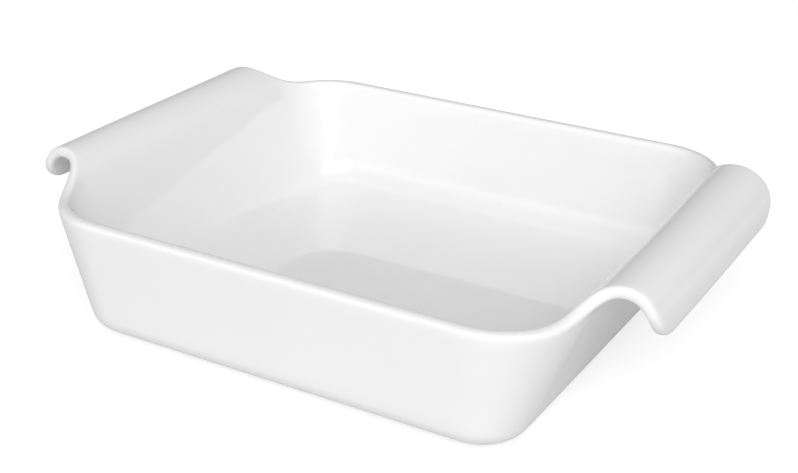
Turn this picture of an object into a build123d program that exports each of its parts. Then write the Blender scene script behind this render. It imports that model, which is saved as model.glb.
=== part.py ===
"""Rectangular ceramic lasagna dish: a drafted tub whose end walls rise and roll over outward as handles."""
from build123d import *
import os
from math import cos, radians, sin, tan

# Tub, over the outside of its walls; lengths in millimetres, angles in degrees
rim_length = 300.0
rim_width = 259.0
side_height = 68.5
end_draft = 20.5
side_draft = 6.0
rim_corner_radius = 42.5
base_corner_radius = 23.5
wall_thickness = 6.5
floor_thickness = 7.0
heel_radius = 12.5
floor_round = 14.0

# Bare standing ring under the floor, set in from the heel
foot_height = 1.2
foot_width = 3.5
foot_inset = 1.0

# Rolled handles: each continues an end wall
flare_above_rim = 0.9
crest_radius = 17.4
fall_radius = 21.4
fall_angle = 85.0
lip_below_rim = 11.0
tab_margin = 2.5
tab_corner_radius = 18.5
rise_reach = 32.0
rise_pull_shares = (0.6, 1.0)
joint_above_rim = 5.0

# Edges and cuts
edge_flat = 0.8
corner_limit_share = 0.99
slight_bend = 25.0
overrun = 2.0

# What follows from these sizes
wall_across = wall_thickness / cos(radians(end_draft))
edge_radius = (wall_thickness - edge_flat) / 2
tab_half_width = rim_width / 2 - rim_corner_radius - tab_margin
floor_top = foot_height + floor_thickness
flare_height = side_height + flare_above_rim
joint_height = side_height + joint_above_rim
lip_bottom = side_height - lip_below_rim

# Section of the end wall and its roll, as places across (X) and up (Z)
off_wall = Vector(cos(radians(end_draft)), -sin(radians(end_draft)))
flare_outside = Vector(rim_length / 2 + flare_above_rim * tan(radians(end_draft)), flare_height)
crest_axis = flare_outside + off_wall * (crest_radius - wall_thickness)
fall_axis = crest_axis + Vector(0, crest_radius - fall_radius)
crest_top = crest_axis.Y + crest_radius
crest_underside = crest_top - wall_thickness


def plan_size(height, inset=0.0):
    """Length, width and corner radius of the walls at a height, drawn in from their outside by an inset."""
    drop = side_height - height
    length = rim_length - 2 * (drop * tan(radians(end_draft)) + inset)
    width = rim_width - 2 * (drop * tan(radians(side_draft)) + inset)
    climb_share = height / side_height
    radius = base_corner_radius + (rim_corner_radius - base_corner_radius) * climb_share - inset
    return length, width, radius


def plan(height, inset=0.0):
    """Rounded rectangle of the walls at a height."""
    return Plane.XY.offset(height) * RectangleRounded(*plan_size(height, inset))


def make_walls():
    """Drafted tub up to where the rolls start, rounded at the heel outside and at the floor inside."""
    outside = loft([plan(foot_height), plan(flare_height)], ruled=True)
    outside = fillet(outside.faces().sort_by(Axis.Z)[0].edges(), heel_radius)
    inside = loft([plan(floor_top, wall_across), plan(flare_height, wall_across)], ruled=True)
    inside = fillet(inside.faces().sort_by(Axis.Z)[0].edges(), floor_round)
    return outside - inside


def climb_section():
    """Closed section of the roll from the end wall up to its crest."""
    flare_inside = flare_outside - Vector(wall_across, 0)
    turn_inside = flare_outside - off_wall * wall_thickness
    wall_angle = 180 - end_draft
    crest_turn = wall_angle - 90
    return make_face([
        Line(flare_outside, flare_inside),
        Line(flare_inside, turn_inside),
        CenterArc(crest_axis, crest_radius, wall_angle, -crest_turn),
        Line((crest_axis.X, crest_top), (crest_axis.X, crest_underside)),
        CenterArc(crest_axis, crest_radius - wall_thickness, 90, crest_turn),
    ])


def fall_section():
    """Closed section of the roll from its crest down past its lip."""
    radial = Vector(sin(radians(fall_angle)), cos(radians(fall_angle)))
    down = Vector(cos(radians(fall_angle)), -sin(radians(fall_angle)))
    outer_end = fall_axis + radial * fall_radius
    inner_end = outer_end - radial * wall_thickness
    lip_length = outer_end.Y - lip_bottom + overrun
    return make_face([
        Line((crest_axis.X, crest_underside), (crest_axis.X, crest_top)),
        CenterArc(fall_axis, fall_radius, 90, -fall_angle),
        Line(outer_end, outer_end + down * lip_length),
        Line(outer_end + down * lip_length, inner_end + down * lip_length),
        Line(inner_end + down * lip_length, inner_end),
        CenterArc(fall_axis, fall_radius - wall_thickness, 90 - fall_angle, fall_angle),
    ])


def tab_outline():
    """Outline of the roll past its crest, seen along the dish: upright sides, large round lower corners."""
    top = crest_top + overrun
    outline = Pos(0, (top + lip_bottom) / 2) * Rectangle(2 * tab_half_width, top - lip_bottom)
    corner_radius = min(tab_corner_radius, corner_limit_share * (crest_underside - lip_bottom))
    return fillet(outline.vertices().group_by(Axis.Y)[0], corner_radius)


def make_roll():
    """Rolled sheet of the +X end: round the tub's corners up to the crest, inside the tab's outline past it."""
    length, width, radius = plan_size(flare_height)
    straight_half_width = width / 2 - radius
    section = climb_section()
    sheet = extrude(Plane.XZ * section, amount=straight_half_width, both=True)
    for side in (1, -1):
        hinge = Axis((length / 2 - radius, side * straight_half_width, 0), (0, 0, side))
        corner_start = Plane.XZ.offset(-side * straight_half_width) * section
        sheet += revolve(corner_start, axis=hinge, revolution_arc=90)
    fall = extrude(Plane.XZ * fall_section(), amount=rim_width / 2, both=True)
    return sheet + (fall & extrude(Plane.YZ.offset(crest_axis.X) * tab_outline(), amount=2 * crest_radius))


def make_rim_cutter():
    """Room over the +Y side rim and beside the rolls, where the rim climbs to them in a hollow curve."""
    foot = tab_half_width + rise_reach
    outside = rim_width
    top = crest_top + overrun
    outline = make_face([
        Spline((tab_half_width, crest_underside), (foot, side_height), tangents=[(0, -1), (1, 0)],
               tangent_scalars=rise_pull_shares),
        Line((foot, side_height), (outside, side_height)),
        Line((outside, side_height), (outside, top)),
        Line((outside, top), (tab_half_width, top)),
        Line((tab_half_width, top), (tab_half_width, crest_underside)),
    ])
    return extrude(Plane.YZ * outline, amount=rim_length, both=True)


def edges_to_round(dish):
    """Edges of the rim and the rolls: in the upper half, where two faces meet at more than a slight bend."""
    beside = {}
    for face in dish.faces():
        for edge in face.edges():
            beside.setdefault(edge, []).append(face)
    chosen = []
    for edge, faces in beside.items():
        middle = edge @ 0.5
        if middle.Z > side_height / 2 and len(faces) == 2:
            bend = faces[0].normal_at(middle).get_angle(faces[1].normal_at(middle))
            if bend > slight_bend:
                chosen.append(edge)
    return ShapeList(chosen)


def make_dish():
    """Whole fired body: tub and both rolls, with the rim and the edges of the rolls rounded."""
    roll = make_roll()
    rim_cutter = make_rim_cutter()
    dish = make_walls() + roll + mirror(roll, about=Plane.YZ)
    dish = dish - rim_cutter - mirror(rim_cutter, about=Plane.XZ)
    return fillet(edges_to_round(dish), edge_radius)


def make_handle_zone():
    """Room of the +X handle: all above the joint, and all past the crest."""
    reach = rim_length
    above = Pos(reach / 2, 0, joint_height + reach / 2) * Box(reach, 2 * rim_width, reach)
    past = Pos(crest_axis.X + reach / 2, 0, 0) * Box(reach, 2 * rim_width, reach)
    return above + past


def make_foot_ring():
    """Ring that the dish stands on, flush against the flat of the floor's underside."""
    outer_inset = heel_radius + foot_inset
    ring = plan(foot_height, outer_inset) - plan(foot_height, outer_inset + foot_width)
    return extrude(ring, amount=-foot_height)


dish = make_dish()
right_zone = make_handle_zone()
left_zone = mirror(right_zone, about=Plane.YZ)
nodes = {
    "tub": dish - right_zone - left_zone,
    "right_handle": dish & right_zone,
    "left_handle": dish & left_zone,
    "foot_ring": make_foot_ring(),
}
os.makedirs("parts", exist_ok=True)
for name, solid in nodes.items():
    export_step(solid, f"parts/{name}.step")
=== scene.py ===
"""Glossy white lasagna dish on a pale floor: its tub, rolled handles and foot ring, dressed and lit."""
import bpy
import bmesh
from math import atan2, copysign, cos, pi, radians, sin, tan
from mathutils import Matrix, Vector
from mathutils.kdtree import KDTree


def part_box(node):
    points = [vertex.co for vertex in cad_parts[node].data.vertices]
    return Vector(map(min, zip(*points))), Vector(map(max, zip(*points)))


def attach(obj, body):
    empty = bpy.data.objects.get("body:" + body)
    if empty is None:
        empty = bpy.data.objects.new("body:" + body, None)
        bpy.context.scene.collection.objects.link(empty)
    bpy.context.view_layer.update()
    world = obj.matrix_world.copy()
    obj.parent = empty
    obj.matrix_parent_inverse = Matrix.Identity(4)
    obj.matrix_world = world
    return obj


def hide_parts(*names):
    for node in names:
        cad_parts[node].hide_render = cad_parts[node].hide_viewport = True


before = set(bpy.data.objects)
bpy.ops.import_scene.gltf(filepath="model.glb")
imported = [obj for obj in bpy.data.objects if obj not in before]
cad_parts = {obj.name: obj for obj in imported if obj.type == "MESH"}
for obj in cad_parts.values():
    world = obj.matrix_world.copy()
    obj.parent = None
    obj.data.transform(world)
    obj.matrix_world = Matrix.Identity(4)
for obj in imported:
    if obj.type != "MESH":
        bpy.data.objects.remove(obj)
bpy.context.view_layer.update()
mm = 0.001

# Sizes that the frame holds
ring_low, ring_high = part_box("foot_ring")
tub_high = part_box("tub")[1]
foot_height = ring_high.z
joint_height = tub_high.z

# Sizes of the tub that the frame doesn't hold, its lengths and corners over the outside of its walls
half_length = 150.0 * mm
half_width = 129.5 * mm
side_height = 68.5 * mm
rim_corner = 42.5 * mm
base_corner = 23.5 * mm
end_draft = radians(20.5)
side_draft = radians(6.0)
wall = 6.5 * mm
floor_thickness = 7.0 * mm
heel_round = 12.5 * mm
floor_round = 14.0 * mm

# How deep clay fills the inner corners: as if by this much at the table's height, down to none at the rim
inner_corner_fill = 4.2 * mm

# Rolled handles: the end wall goes on straight past the side rims by the flare, turns over the crest and
# falls, by rounds measured over the outside
flare = 0.5 * mm
crest_round = 20.0 * mm
fall_round = 19.5 * mm
fall_turn = radians(85.0)

# Free edge of a roll: how far round the rim from the end's middle it starts to climb, the length of its
# climb, half the roll's width at the top of it, and how much narrower that half is at the lip
rise_foot = 116.4 * mm
rise_length = 24.3 * mm
tab_half_width = 81.3 * mm
tab_taper = 3.5 * mm

# Straight length and corner radius of the lip, on the right-hand (1) and the left-hand (-1) roll
lips = {1: (5.2 * mm, 14.7 * mm), -1: (1.6 * mm, 8.0 * mm)}

# How far each end came out of the kiln out of true, at the roll's near end, its middle and its far end:
# its wall leans outward by the first three lengths, and its lip is drawn inward by the others
wall_leans = {1: (0.5 * mm, -0.4 * mm, -2.6 * mm), -1: (0.0, -0.6 * mm, -1.6 * mm)}
lip_draws = {1: (1.5 * mm, 0.8 * mm, -0.6 * mm), -1: (1.0 * mm, 0.5 * mm, 0.1 * mm)}

# Power of the free edge's section: 1 makes it a half circle, and less makes it fuller
rim_power = 0.7

# Foot ring
foot_inset = 1.0 * mm
foot_width = 3.5 * mm
foot_edge = 0.4 * mm

# How finely the net of faces is laid out
tab_columns = 26
corner_columns = 9
side_columns = 22
heel_rows = 5
wall_rows = 11
rise_rows = 10
fall_rows = 4
lip_corner_rows = 5
rim_rows = 6
ring_corner_steps = 10
foot_edge_steps = 2

# What follows from these sizes
wall_across = wall / cos(end_draft)
half_wall = wall / 2
floor_top = foot_height + floor_thickness
corner_fill = inner_corner_fill * (1 - floor_top / side_height)
straight_end = half_width - rim_corner
straight_side = half_length - rim_corner
corner_run = rim_corner * pi / 2
corner_end = straight_end + corner_run
last_run = corner_end + straight_side
crest_radius = crest_round - half_wall
fall_radius = fall_round - half_wall
crest_x = half_length + crest_radius * cos(end_draft)
roll_reach = crest_x + fall_round
ring_corner = base_corner - heel_round - foot_inset

# Faces across the dish in the grids that close its floor, and how near two points count as one
grid_span = 2 * (tab_columns + 1)
hair = 0.01 * mm

# How far from the crest of the free edge the glaze runs thin
edge_reach = 1.3 * half_wall


def plan_place(length, width, radius, run):
    """Place and outward direction on a quarter of a rounded rectangle, at a run from its end's middle."""
    if run <= straight_end:
        return Vector((length, (width - radius) * run / straight_end)), Vector((1, 0))
    if run <= corner_end:
        turn = (run - straight_end) / rim_corner
        out = Vector((cos(turn), sin(turn)))
        return Vector((length - radius, width - radius)) + out * radius, out
    left = (last_run - run) / straight_side
    return Vector(((length - radius) * left, width)), Vector((0, 1))


class Column:
    """One upright line of the dish, at a run round its rim from the middle of the +X end wall.

    It has its place on the base outline and the way out from there, the wall's draft, how far it slides
    sideways as it climbs, half the sheet's thickness, and its share of the clay in the inner corner.
    """

    def __init__(self, run):
        drop = side_height - foot_height
        base_length = half_length - drop * tan(end_draft)
        base_width = half_width - drop * tan(side_draft)
        base_radius = base_corner + (rim_corner - base_corner) * foot_height / side_height
        self.base, self.out = plan_place(base_length, base_width, base_radius, run)
        rim = plan_place(half_length, half_width, rim_corner, run)[0]
        lean = (rim - self.base).dot(self.out)
        self.draft = atan2(lean, drop)
        self.slide = (rim - self.base - self.out * lean) / drop
        self.half = wall_across / 2 * cos(self.draft)
        self.rim_height = side_height - self.half
        turn = min(max(run - straight_end, 0.0), corner_run) / rim_corner
        self.corner_share = sin(2 * turn) ** 2

    def at(self, out, height):
        """Point that stands out from the base outline by a length, at a height."""
        flat = self.base + self.out * out + self.slide * (height - foot_height)
        return Vector((flat.x, flat.y, height))

    def wall_out(self, height, inset=0.0):
        """How far the wall stands out from the base outline at a height, less an inset."""
        return (height - foot_height) * tan(self.draft) - inset

    def rounded(self, level, inset, radius):
        """Round between a level floor and the wall, from the floor up."""
        middle = self.wall_out(level + radius, inset) - radius / cos(self.draft)
        points = []
        for row in range(heel_rows + 1):
            angle = -pi / 2 + (pi / 2 - self.draft) * row / heel_rows
            points.append(self.at(middle + radius * cos(angle), level + radius + radius * sin(angle)))
        return points

    def skin(self, along, face):
        """Point on the outer (face 1) or inner (face -1) skin, a length above the rim line."""
        straight = min(along, flare + self.half)
        climb = min(along - straight, (pi / 2 - self.draft) * crest_radius)
        fall = min(along - straight - climb, fall_turn * fall_radius)
        past = along - straight - climb - fall
        turn = self.draft + climb / crest_radius
        out = self.wall_out(self.rim_height) - wall_across / 2 + sin(self.draft) * straight
        out += crest_radius * (cos(self.draft) - cos(turn))
        height = self.rim_height + cos(self.draft) * straight
        height += crest_radius * (sin(turn) - sin(self.draft))
        if fall > 0:
            turn = pi / 2 + fall / fall_radius
            out -= fall_radius * cos(turn)
            height += fall_radius * (sin(turn) - 1)
        out += sin(turn) * past + cos(turn) * self.half * face
        height += cos(turn) * past - sin(turn) * self.half * face
        return self.at(out, height)


def tab_rows(side):
    """Rows of one end's roll, as a length above the rim line and a half width each."""
    lip_length, lip_corner = lips[side]
    climb = (pi / 2 - end_draft) * crest_radius
    whole = flare + half_wall + climb + fall_turn * fall_radius + lip_length
    corner_start = whole - lip_corner

    def tapered(along):
        return tab_half_width - tab_taper * (along - rise_length) / (whole - rise_length)

    rows = []
    for row in range(1, rise_rows + 1):
        angle = pi / 2 * row / rise_rows
        along = rise_length * (1 - cos(angle))
        rows.append((along, rise_foot - (rise_foot - tab_half_width) * sin(angle)))
    for row in range(1, fall_rows + 1):
        along = rise_length + (corner_start - rise_length) * row / fall_rows
        rows.append((along, tapered(along)))
    for row in range(1, lip_corner_rows + 1):
        angle = pi / 2 * row / lip_corner_rows
        along = corner_start + lip_corner * sin(angle)
        rows.append((along, tapered(along) - lip_corner * (1 - cos(angle))))
    return rows


class Net:
    """Points and four-sided faces of a quarter of the dish."""

    def __init__(self):
        self.points = []
        self.faces = []

    def line(self, points):
        """Adds a line of points, and gives back their numbers."""
        first = len(self.points)
        self.points += [tuple(p) for p in points]
        return list(range(first, len(self.points)))

    def strip(self, one, other):
        """Adds the faces between two lines."""
        for k in range(len(one) - 1):
            self.faces.append((one[k], one[k + 1], other[k + 1], other[k]))


def skin_rows(net, columns, side, face):
    """Lays the outer (face 1) or inner (face -1) skin, and gives back the points along its free edge."""
    if face > 0:
        level, inset, radius, fill = foot_height, 0.0, heel_round, 0.0
    else:
        level, inset, radius, fill = floor_top, wall_across, floor_round, corner_fill
    profiles = []
    for column in columns:
        profile = column.rounded(level, inset + fill * column.corner_share, radius)
        low, high = profile[-1], column.skin(0.0, face)
        profile += [low.lerp(high, k / wall_rows) for k in range(1, wall_rows + 1)]
        profiles.append(profile)
    rows = [net.line([p[k] for p in profiles]) for k in range(heel_rows + wall_rows + 1)]
    for one, other in zip(rows, rows[1:]):
        net.strip(one, other)
    edge = rows[-1][tab_columns:][::-1]
    last = rows[-1][:tab_columns + 1]
    for along, width in tab_rows(side):
        places = [Column(width * k / tab_columns) for k in range(tab_columns + 1)]
        row = net.line([place.skin(along, face) for place in places])
        net.strip(last, row)
        edge.append(row[-1])
        last = row
    return edge + last[:-1][::-1]


def rim_cap(net, outer, inner):
    """Closes the free edge, a little fuller than round, and gives back its rings of points."""
    points = [Vector(p) for p in net.points]
    middle = [(points[a] + points[b]) / 2 for a, b in zip(outer, inner)]
    count = len(outer)
    arcs = []
    for k in range(count):
        before, after = middle[max(k - 1, 0)], middle[min(k + 1, count - 1)]
        along = after - before
        if k == 0:
            along = Vector((1, 0, 0))
        if k == count - 1:
            along = Vector((0, -1, 0))
        normal = points[outer[k]] - middle[k]
        half = normal.length
        normal.normalize()
        away = along.cross(normal).normalized()
        arcs.append((middle[k], normal * half, away * half))
    rings = [outer]
    for row in range(1, rim_rows):
        angle = pi / 2 - pi * row / rim_rows
        across = copysign(abs(sin(angle)) ** rim_power, sin(angle))
        up = cos(angle) ** rim_power
        rings.append(net.line([m + n * across + a * up for m, n, a in arcs]))
    rings.append(inner)
    for one, other in zip(rings, rings[1:]):
        net.strip(one, other)
    return rings


def quarter_net(side):
    """Net of the far quarter of one end, and the points along the crest of its free edge."""
    net = Net()
    corner_step = (corner_end - rise_foot) / corner_columns
    runs = [rise_foot * k / tab_columns for k in range(tab_columns + 1)]
    runs += [rise_foot + corner_step * k for k in range(1, corner_columns + 1)]
    runs += [corner_end + straight_side * k / side_columns for k in range(1, side_columns + 1)]
    columns = [Column(run) for run in runs]
    rings = rim_cap(net, skin_rows(net, columns, side, 1), skin_rows(net, columns, side, -1))
    net.points = [(x * side, y, z) for x, y, z in net.points]
    return net, [Vector(net.points[k]) for k in rings[rim_rows // 2]]


def only(*objects):
    """Selects just these objects, the first one active."""
    bpy.ops.object.select_all(action="DESELECT")
    for each in objects:
        each.select_set(True)
    bpy.context.view_layer.objects.active = objects[0]


def modify(piece, kind, **settings):
    """Adds a modifier and applies it."""
    only(piece)
    modifier = piece.modifiers.new(kind.lower(), kind)
    for name, value in settings.items():
        setattr(modifier, name, value)
    bpy.ops.object.modifier_apply(modifier=modifier.name)


def edit(piece, kind="EDGE"):
    """Opens a piece in edit mode with nothing selected, and returns its net."""
    only(piece)
    bpy.ops.object.mode_set(mode="EDIT")
    bpy.ops.mesh.select_mode(type=kind)
    bpy.ops.mesh.select_all(action="DESELECT")
    return bmesh.from_edit_mesh(piece.data)


def close_level(piece, level, span):
    """Closes the loop of open edges at a level with a grid, whose corners lie where the loop turns."""
    net = edit(piece)
    rim = [e for e in net.edges if e.is_boundary and abs(e.verts[0].co.z - level) < hair]
    for edge in rim:
        edge.select_set(True)
    corner = max((v for e in rim for v in e.verts), key=lambda v: v.co.x + v.co.y)
    net.select_history.clear()
    net.select_history.add(corner)
    bpy.ops.mesh.fill_grid(span=span)
    bpy.ops.object.mode_set(mode="OBJECT")


def make_dish():
    """Whole glazed body as one smooth closed skin, before it is parted into its pieces."""
    points, faces, crest = [], [], []
    for side in (1, -1):
        net, line = quarter_net(side)
        faces += [tuple(len(points) + k for k in face) for face in net.faces]
        points += net.points
        crest += line
    mesh = bpy.data.meshes.new("dish")
    mesh.from_pydata(points, [], faces)
    dish = bpy.data.objects.new("dish", mesh)
    bpy.context.scene.collection.objects.link(dish)
    modify(dish, "MIRROR", use_axis=(False, True, False), merge_threshold=hair)
    edit(dish)
    bpy.ops.mesh.select_all(action="SELECT")
    bpy.ops.mesh.remove_doubles(threshold=hair)
    bpy.ops.object.mode_set(mode="OBJECT")
    for level in (foot_height, floor_top):
        close_level(dish, level, grid_span)
    edit(dish)
    bpy.ops.mesh.select_all(action="SELECT")
    bpy.ops.mesh.normals_make_consistent(inside=False)
    bpy.ops.object.mode_set(mode="OBJECT")
    modify(dish, "SUBSURF", levels=1, render_levels=1)
    bpy.ops.object.shade_smooth()
    mark_edge(dish, crest)
    return dish


def mark_edge(dish, crest):
    """Notes how near each point is to the crest of the free edge, where the glaze runs thin."""
    tree = KDTree(len(crest))
    for k, point in enumerate(crest):
        tree.insert(point, k)
    tree.balance()
    near = []
    for point in dish.data.vertices:
        distance = tree.find((point.co.x, abs(point.co.y), point.co.z))[2]
        near.append(max(0.0, 1 - distance / edge_reach))
    dish.data.attributes.new("edge", "FLOAT", "POINT").data.foreach_set("value", near)


def ease(value, low, high):
    """Share that goes from 0 at a low value to 1 at a high one, level at both."""
    share = min(max((value - low) / (high - low), 0.0), 1.0)
    return share * share * (3 - 2 * share)


def uneven(lengths, across):
    """Length at a place across the dish, on a smooth curve through a roll's near, middle and far one."""
    near, middle, far = lengths
    place = sin(pi / 2 * min(max(across / tab_half_width, -1.0), 1.0))
    return middle + (far - near) / 2 * place + ((near + far) / 2 - middle) * place * place


def settle(dish):
    """Sets both ends a little out of true, as the fired dish stands."""
    for point in dish.data.vertices:
        x, y, z = point.co
        side = 1 if x > 0 else -1
        lean = uneven(wall_leans[side], y) * ease(z, 0.0, side_height) * ease(abs(x), 0.0, half_length)
        draw = uneven(lip_draws[side], y) * ease(abs(x), crest_x, roll_reach)
        point.co.x = x + side * (lean - draw)


def cut_joints(dish):
    """Cuts the skin where the rolled handles start."""
    net = edit(dish, "FACE")
    for face in net.faces:
        heights = [v.co.z for v in face.verts]
        crossed = min(heights) < joint_height < max(heights)
        face.select_set(crossed and abs(face.calc_center_median().x) < crest_x)
    bpy.ops.mesh.bisect(plane_co=(0, 0, joint_height), plane_no=(0, 0, 1), threshold=hair)
    bpy.ops.object.mode_set(mode="OBJECT")


def note_shading(dish):
    """Keeps the shading of the whole dish with its points, for the pieces that are parted from it."""
    shading = dish.data.attributes.new("whole_normal", "FLOAT_VECTOR", "POINT")
    shading.data.foreach_set("vector", [length for v in dish.data.vertices for length in v.normal])


def take_handle(dish, side, name):
    """Parts the rolled handle of one end from the dish, with the joint closed on both."""
    net = edit(dish, "FACE")
    for face in net.faces:
        middle = face.calc_center_median()
        past_joint = middle.z > joint_height or middle.x * side > crest_x
        face.select_set(middle.x * side > 0 and past_joint)
    bpy.ops.mesh.separate(type="SELECTED")
    bpy.ops.object.mode_set(mode="OBJECT")
    handle = next(o for o in bpy.context.selected_objects if o != dish)
    handle.name = handle.data.name = name
    for piece in (handle, dish):
        net = edit(piece)
        for edge in net.edges:
            edge.select_set(edge.is_boundary)
        bpy.ops.mesh.edge_face_add()
        bpy.ops.object.mode_set(mode="OBJECT")
    return handle


def keep_shading(piece):
    """Shades a piece as the whole dish is, so that the joint doesn't show, with the joint itself flat."""
    mesh = piece.data
    whole = mesh.attributes["whole_normal"].data
    normals = []
    for face in mesh.polygons:
        at_joint = all(abs(mesh.vertices[v].co.z - joint_height) < hair for v in face.vertices)
        normals += [face.normal if at_joint else whole[v].vector for v in face.vertices]
    mesh.normals_split_custom_set(normals)
    mesh.attributes.remove(mesh.attributes["whole_normal"])


def make_foot_ring():
    """Bare ring under the floor: a flat rounded frame, drawn down to the level it stands on."""
    bpy.ops.object.select_all(action="DESELECT")
    bpy.ops.mesh.primitive_plane_add(size=1, location=(0, 0, foot_height))
    ring = bpy.context.object
    ring.name = ring.data.name = "bare_foot_ring"
    ring.scale = (ring_high.x - ring_low.x, ring_high.y - ring_low.y, 1)
    bpy.ops.object.transform_apply(location=True, rotation=True, scale=True)
    edit(ring, "VERT")
    bpy.ops.mesh.select_all(action="SELECT")
    bpy.ops.mesh.bevel(offset=ring_corner, affect="VERTICES", segments=ring_corner_steps, profile=0.5)
    bpy.ops.mesh.select_mode(type="FACE")
    bpy.ops.mesh.select_all(action="SELECT")
    bpy.ops.mesh.inset(thickness=foot_width)
    bpy.ops.mesh.delete(type="FACE")
    bpy.ops.mesh.select_all(action="SELECT")
    bpy.ops.mesh.extrude_region_move(TRANSFORM_OT_translate={"value": (0, 0, -foot_height)})
    bpy.ops.mesh.select_all(action="SELECT")
    bpy.ops.mesh.normals_make_consistent(inside=False)
    bpy.ops.object.mode_set(mode="OBJECT")
    net = edit(ring)
    for edge in net.edges:
        slopes = {round(face.normal.z) for face in edge.link_faces}
        edge.select_set(all(v.co.z < hair for v in edge.verts) and len(slopes) > 1)
    bpy.ops.mesh.bevel(offset=foot_edge, affect="EDGES", segments=foot_edge_steps)
    bpy.ops.object.mode_set(mode="OBJECT")
    return ring


# Pieces: the glazed body, parted where the rolls start, and the bare ring under it
dish = make_dish()
cut_joints(dish)
settle(dish)
note_shading(dish)
right_handle = take_handle(dish, 1, "glazed_right_handle")
left_handle = take_handle(dish, -1, "glazed_left_handle")
dish.name = dish.data.name = "glazed_tub"
glazed = {dish: "tub", right_handle: "right_handle", left_handle: "left_handle"}
for piece in glazed:
    keep_shading(piece)
foot_ring = make_foot_ring()

for piece, node in glazed.items():
    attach(piece, "root")
    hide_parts(node)
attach(foot_ring, "root")
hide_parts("foot_ring")


class Value:
    """A number that varies over a surface: a sum written with it adds its Math nodes to the finish."""

    def __init__(self, finish, socket):
        self.finish = finish
        self.socket = socket

    def math(self, operation, *terms):
        return self.finish.add("ShaderNodeMath", {"operation": operation}, dict(enumerate(terms)))

    def __add__(self, other):
        return self.math("ADD", self, other)

    def __radd__(self, other):
        return self.math("ADD", other, self)

    def __sub__(self, other):
        return self.math("SUBTRACT", self, other)

    def __rsub__(self, other):
        return self.math("SUBTRACT", other, self)

    def __mul__(self, other):
        return self.math("MULTIPLY", self, other)

    def __rmul__(self, other):
        return self.math("MULTIPLY", other, self)


class Finish:
    """A material, or the studio's surrounding light, built from nodes."""

    def __init__(self, owner):
        owner.use_nodes = True
        self.owner = owner
        self.tree = owner.node_tree
        self.tree.nodes.clear()

    def add(self, kind, settings=None, inputs=None, output=0):
        """Adds a node with its settings and inputs, and gives back one of its outputs if it has any."""
        node = self.tree.nodes.new(kind)
        for name, value in (settings or {}).items():
            setattr(node, name, value)
        for name, value in (inputs or {}).items():
            if isinstance(value, Value):
                self.tree.links.new(value.socket, node.inputs[name])
            else:
                node.inputs[name].default_value = value
        return Value(self, node.outputs[output]) if node.outputs else node

    def several(self, kind, inputs, outputs):
        """Adds a node with its inputs, and gives back several of its outputs."""
        node = self.add(kind, {}, inputs).socket.node
        return [Value(self, node.outputs[name]) for name in outputs]

    def place(self):
        """Place on the piece, in its own coordinates."""
        return self.add("ShaderNodeTexCoord", output="Object")

    def cloud(self, size, detail=2.0):
        """Soft irregular pattern from 0 to 1, whose patches are about a size across."""
        inputs = {"Vector": self.place(), "Scale": 1 / size, "Detail": detail}
        return self.add("ShaderNodeTexNoise", {}, inputs)

    def between(self, value, low, high):
        """0 below a low value, 1 above a high one, and a smooth step between them."""
        inputs = {"Value": value, "From Min": low, "From Max": high}
        return self.add("ShaderNodeMapRange", {"interpolation_type": "SMOOTHSTEP"}, inputs)

    def mix(self, factor, one, other):
        """Colour that goes from one to another as a factor goes from 0 to 1."""
        inputs = {0: factor, 6: one, 7: other}
        return self.add("ShaderNodeMix", {"data_type": "RGBA"}, inputs, output=2)

    def bump(self, height, depth, over=None):
        """Surface whose height varies by up to a depth."""
        inputs = {"Height": height, "Distance": depth, "Strength": 1.0}
        if over:
            inputs["Normal"] = over
        return self.add("ShaderNodeBump", {}, inputs)

    def close(self, shader, output="ShaderNodeOutputMaterial"):
        """Ends the nodes with a shader, and gives back the material or world that they belong to."""
        self.add(output, {}, {"Surface": shader})
        return self.owner


def grey(level):
    """Neutral colour of a level."""
    return level, level, level, 1


# White glaze: its tones
glaze_deep = grey(0.86)
glaze_pale = grey(0.88)
glaze_thin = (0.80, 0.795, 0.78, 1)
glaze_speck = (0.45, 0.40, 0.34, 1)

# Sizes across of its drift of tone, smears, waves and orange peel, and depths of the last two
drift_size = 90 * mm
smear_size = 14 * mm
wave_size = 22 * mm
wave_depth = 0.05 * mm
peel_size = 1.6 * mm
peel_depth = 0.0015 * mm

# Specks: how far apart they are, between which shares of that one fades out, and how strongly it shows
speck_spacing = 9 * mm
speck_edge = (0.02, 0.035)
speck_share = 0.25

# How strongly thin glaze shows its tone, and how rough glaze is everywhere, in a smear and where thin
thin_share = 0.6
glaze_roughness = 0.03
smear_roughness = 0.03
thin_roughness = 0.04
glaze_index = 1.56


def white_glaze():
    """White tin glaze, fired glossy over stoneware: even, a little thinner on the edges, faintly wavy."""
    finish = Finish(bpy.data.materials.new("white_glaze"))
    drift = finish.cloud(drift_size)
    voronoi_inputs = {"Vector": finish.place(), "Scale": 1 / speck_spacing}
    speck = 1 - finish.between(finish.add("ShaderNodeTexVoronoi", {}, voronoi_inputs), *speck_edge)
    thin = finish.add("ShaderNodeAttribute", {"attribute_name": "edge"}, output="Fac")
    colour = finish.mix(drift, glaze_deep, glaze_pale)
    colour = finish.mix(thin * thin_share, colour, glaze_thin)
    colour = finish.mix(speck * speck_share, colour, glaze_speck)
    roughness = glaze_roughness + smear_roughness * finish.cloud(smear_size) + thin_roughness * thin
    waves = finish.bump(finish.cloud(wave_size, detail=1.0), wave_depth)
    peel = finish.bump(finish.cloud(peel_size, detail=1.0), peel_depth, waves)
    inputs = {"Base Color": colour, "Roughness": roughness, "Normal": peel, "IOR": glaze_index}
    return finish.close(finish.add("ShaderNodeBsdfPrincipled", {}, inputs))


# Bare clay of the foot ring: its tones
clay_deep = (0.66, 0.62, 0.54, 1)
clay_pale = (0.76, 0.72, 0.65, 1)
clay_stain = (0.52, 0.46, 0.38, 1)

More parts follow.
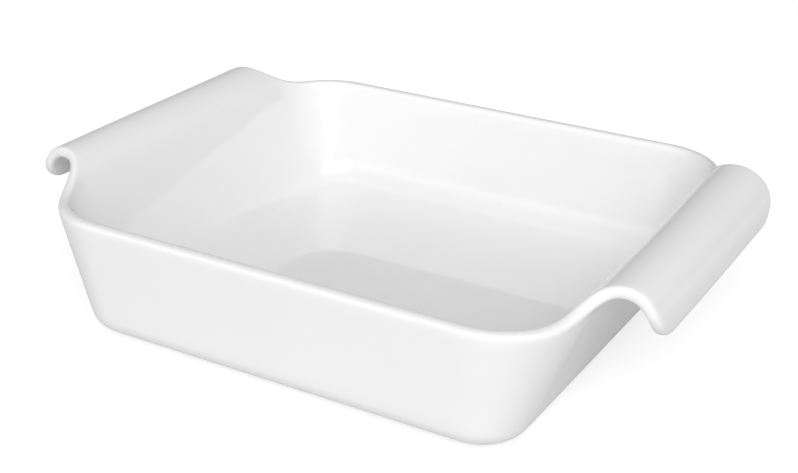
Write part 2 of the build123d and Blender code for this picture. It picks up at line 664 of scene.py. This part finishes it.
# Its grain and stains: sizes across, the grain's depth, and where a stain starts and how strong it is
grain_size = 0.7 * mm
grain_depth = 0.05 * mm
stain_size = 12 * mm
stain_edge = (0.5, 0.75)
stain_share = 0.35
clay_roughness = 0.75
grain_roughness = 0.15


def bare_foot():
    """Unglazed stoneware of the foot ring: matte, fine-grained, rubbed smooth and a little stained."""
    finish = Finish(bpy.data.materials.new("bare_foot"))
    grain = finish.cloud(grain_size, detail=3.0)
    stain = finish.between(finish.cloud(stain_size, detail=3.0), *stain_edge)
    colour = finish.mix(grain, clay_deep, clay_pale)
    colour = finish.mix(stain * stain_share, colour, clay_stain)
    roughness = clay_roughness + grain_roughness * grain
    inputs = {"Base Color": colour, "Roughness": roughness, "Normal": finish.bump(grain, grain_depth)}
    return finish.close(finish.add("ShaderNodeBsdfPrincipled", {}, inputs))


# Studio floor: its size in metres, its tones as lit and under the lift, and the lift's strength
floor_size = 14.0
lit_floor = grey(0.6)
lifted_floor = grey(0.45)
floor_glow = 0.7

# Share of the lift that the glossy dish mirrors
mirror_share = 0.4


def white_floor():
    """Pale floor: shaded as any other, lifted to white where it is looked at, and less so in mirrors."""
    finish = Finish(bpy.data.materials.new("studio_floor"))
    rays = ("Is Camera Ray", "Is Glossy Ray", "Is Transmission Ray")
    looked_at, mirrored, behind_glass = finish.several("ShaderNodeLightPath", {}, rays)
    lifted = looked_at + (mirrored + behind_glass) * mirror_share
    lit = finish.add("ShaderNodeBsdfDiffuse", {}, {"Color": lit_floor})
    shaded = finish.add("ShaderNodeBsdfDiffuse", {}, {"Color": lifted_floor})
    glow = finish.add("ShaderNodeEmission", {}, {"Color": grey(1), "Strength": floor_glow})
    white = finish.add("ShaderNodeAddShader", {}, {0: shaded, 1: glow})
    return finish.close(finish.add("ShaderNodeMixShader", {}, {0: lifted, 1: lit, 2: white}))


glaze = white_glaze()
for piece in glazed:
    piece.data.materials.append(glaze)
foot_ring.data.materials.append(bare_foot())

# Camera, placed as the photograph's outline and rims fit
camera_azimuth = radians(30.72)
camera_pitch = radians(25.03)
camera_distance = 793.9 * mm
camera_target = Vector((0.2, 1.4, 34.1)) * mm
lens = 65.4
frame_shift = (-0.0029, 0.0024)

# Softboxes: angle round the dish from the front to the right and angle above the floor, in degrees, then
# width and height in metres, and power in watts
softbox_distance = 3.3
softboxes = {
    "high_softbox": (37, 46, (3.0, 2.4), 79),
    "low_softbox": (42, 12, (0.5, 1.2), 4.5),
}

# Grey light from the front, from behind and from above, and where it changes, on a sphere of radius 1
front_grey = grey(1.15)
back_grey = grey(0.36)
top_grey = grey(0.25)
front_to_back = (-0.62, -0.50)
around_to_top = (0.35, 0.9)


def seen_from(azimuth, pitch):
    """Direction from the dish, at an angle round it from the front and an angle above the floor."""
    return Vector((sin(azimuth) * cos(pitch), -cos(azimuth) * cos(pitch), sin(pitch)))


def make_camera():
    """Camera at the photograph's angle, looking down on the dish over its front right corner."""
    data = bpy.data.cameras.new("camera")
    data.lens = lens
    data.shift_x, data.shift_y = frame_shift
    camera = bpy.data.objects.new("camera", data)
    bpy.context.scene.collection.objects.link(camera)
    back = seen_from(camera_azimuth, camera_pitch)
    camera.location = camera_target + back * camera_distance
    camera.rotation_euler = back.to_track_quat("Z", "Y").to_euler()
    bpy.context.scene.camera = camera


def make_floor():
    """Plain floor that the dish stands on."""
    bpy.ops.object.select_all(action="DESELECT")
    bpy.ops.mesh.primitive_plane_add(size=floor_size)
    floor = bpy.context.object
    floor.name = floor.data.name = "studio_floor"
    floor.data.materials.append(white_floor())


def make_softbox(name, azimuth, pitch, size, power):
    """Soft lamp that faces the dish."""
    data = bpy.data.lights.new(name, "AREA")
    data.shape = "RECTANGLE"
    data.size, data.size_y = size
    data.energy = power
    lamp = bpy.data.objects.new(name, data)
    bpy.context.scene.collection.objects.link(lamp)
    back = seen_from(radians(azimuth), radians(pitch))
    lamp.location = back * softbox_distance
    lamp.rotation_euler = back.to_track_quat("Z", "Y").to_euler()


def make_world():
    """Grey light from all round the studio: one level in front, one behind the dish and one overhead."""
    sky = Finish(bpy.data.worlds.new("studio"))
    direction = sky.add("ShaderNodeTexCoord", output="Generated")
    depth, height = sky.several("ShaderNodeSeparateXYZ", {"Vector": direction}, ("Y", "Z"))
    around = sky.mix(sky.between(depth, *front_to_back), front_grey, back_grey)
    colour = sky.mix(sky.between(height, *around_to_top), around, top_grey)
    light = sky.add("ShaderNodeBackground", {}, {"Color": colour})
    bpy.context.scene.world = sky.close(light, "ShaderNodeOutputWorld")


make_camera()
make_floor()
for name, softbox in softboxes.items():
    make_softbox(name, *softbox)
make_world()
bpy.context.scene.view_settings.view_transform = "Standard"
